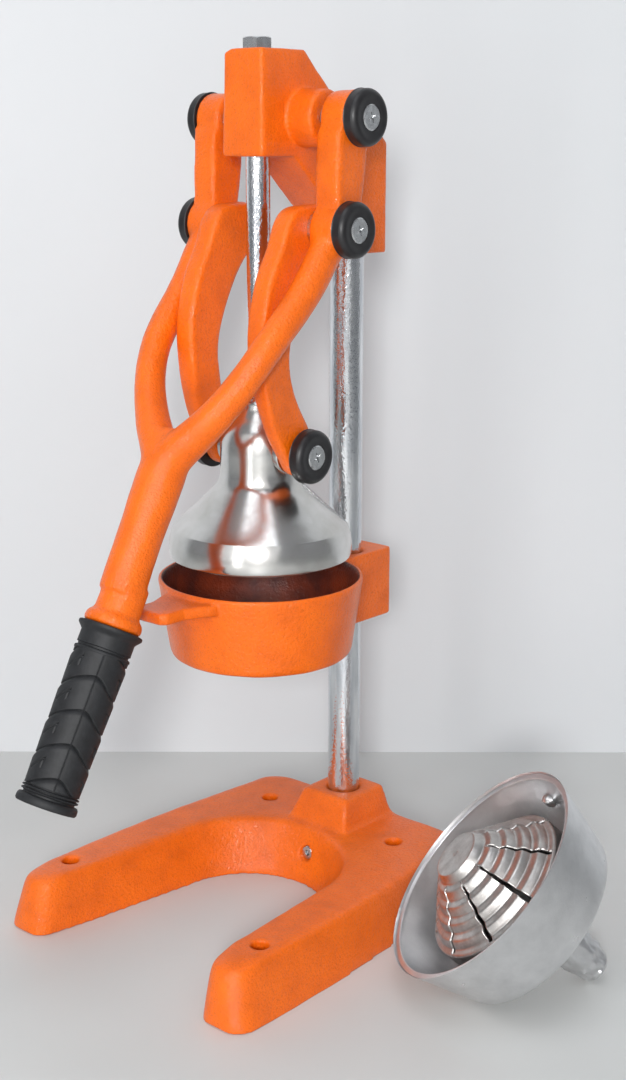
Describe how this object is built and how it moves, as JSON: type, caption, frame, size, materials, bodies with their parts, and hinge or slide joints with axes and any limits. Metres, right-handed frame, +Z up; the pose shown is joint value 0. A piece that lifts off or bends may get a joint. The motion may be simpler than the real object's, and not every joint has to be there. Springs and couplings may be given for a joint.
{
  "type": "lever citrus juice press",
  "caption": "Lever citrus press: horseshoe base, round column, head with a forked lever and bowed links driving a rod with a hollow bell, cup ring, and a cup with a strainer cone.",
  "frame": {"origin": "where the column's axis meets the standing surface under the base", "axes": "+Z up along the column; the handle and the open side of the base face -Y; +X points to the side where the loose cup lies"},
  "size_m": [0.3537, 0.3124, 0.5557],
  "materials": {
    "orange_enamel": "glossy orange enamel with an orange-peel surface over cast iron",
    "chrome_bar": "bright chromed round bar",
    "polished_aluminium": "lathe-polished cast aluminium",
    "cast_aluminium": "satin cast aluminium",
    "bright_aluminium": "tumbled bright cast aluminium",
    "black_plastic": "satin black moulded plastic",
    "grip_rubber": "matt black moulded rubber",
    "zinc_steel": "zinc plated steel"
  },
  "bodies": {
    "stand": {"base": "orange_enamel", "base_set_screw": "zinc_steel", "column": "chrome_bar", "head": "orange_enamel", "head_set_screw": "zinc_steel", "upper_shaft": "zinc_steel", "upper_knob_right": "black_plastic", "upper_knob_left": "black_plastic", "upper_screw_right": "zinc_steel", "upper_screw_left": "zinc_steel", "upper_washer_right": "zinc_steel", "upper_washer_left": "zinc_steel"},
    "cup_ring": {"ring_holder": "orange_enamel", "ring_set_screw": "zinc_steel"},
    "plunger": {"bell": "polished_aluminium", "press_rod": "chrome_bar", "rod_bolt": "zinc_steel"},
    "handle": {"handle_fork": "orange_enamel", "grip": "grip_rubber", "mid_pin_right": "zinc_steel", "mid_pin_left": "zinc_steel", "mid_washer_right": "zinc_steel", "mid_washer_left": "zinc_steel", "mid_knob_right": "black_plastic", "mid_knob_left": "black_plastic", "mid_screw_right": "zinc_steel", "mid_screw_left": "zinc_steel"},
    "right_link": {"link_right": "orange_enamel", "lower_pin_right": "zinc_steel", "lower_knob_right": "black_plastic", "lower_screw_right": "zinc_steel"},
    "left_link": {"link_left": "orange_enamel", "lower_pin_left": "zinc_steel", "lower_knob_left": "black_plastic", "lower_screw_left": "zinc_steel"},
    "cup_body": {"cup": "cast_aluminium"},
    "strainer_body": {"strainer": "bright_aluminium"}
  },
  "joints": [
    {"name": "handle_swing", "type": "hinge", "parent": "stand", "child": "handle", "pos_m": [0, -0.0603, 0.5097], "axis": [-1, 0, 0], "range_deg": [0, 110]},
    {"name": "right_link_swing", "type": "hinge", "parent": "handle", "child": "right_link", "pos_m": [0.0315, -0.0701, 0.4458], "axis": [-1, 0, 0], "range_deg": [-130, 0]},
    {"name": "left_link_swing", "type": "hinge", "parent": "handle", "child": "left_link", "pos_m": [-0.0315, -0.0701, 0.4458], "axis": [-1, 0, 0], "range_deg": [-130, 0]},
    {"name": "plunger_slide", "type": "slide", "parent": "stand", "child": "plunger", "axis": [0, 0, 1], "range_m": [0, 0.0985]},
    {"name": "cup_ring_slide", "type": "slide", "parent": "stand", "child": "cup_ring", "axis": [0, 0, -1], "range_m": [0, 0.1]},
    {"name": "cup_lift", "type": "slide", "parent": "stand", "child": "cup_body", "axis": [0, 0, 1], "range_m": [0, 0.2]},
    {"name": "strainer_lift", "type": "slide", "parent": "cup_body", "child": "strainer_body", "axis": [-0.4976, -0.5507, 0.6702], "range_m": [0, 0.08]}
  ],
  "couplings": [
    {"joint": "right_link_swing", "follows": "handle_swing", "ratio": -1.1806},
    {"joint": "left_link_swing", "follows": "handle_swing", "ratio": -1.1806},
    {"joint": "plunger_slide", "follows": "handle_swing", "m_per_rad": 0.051279}
  ]
}
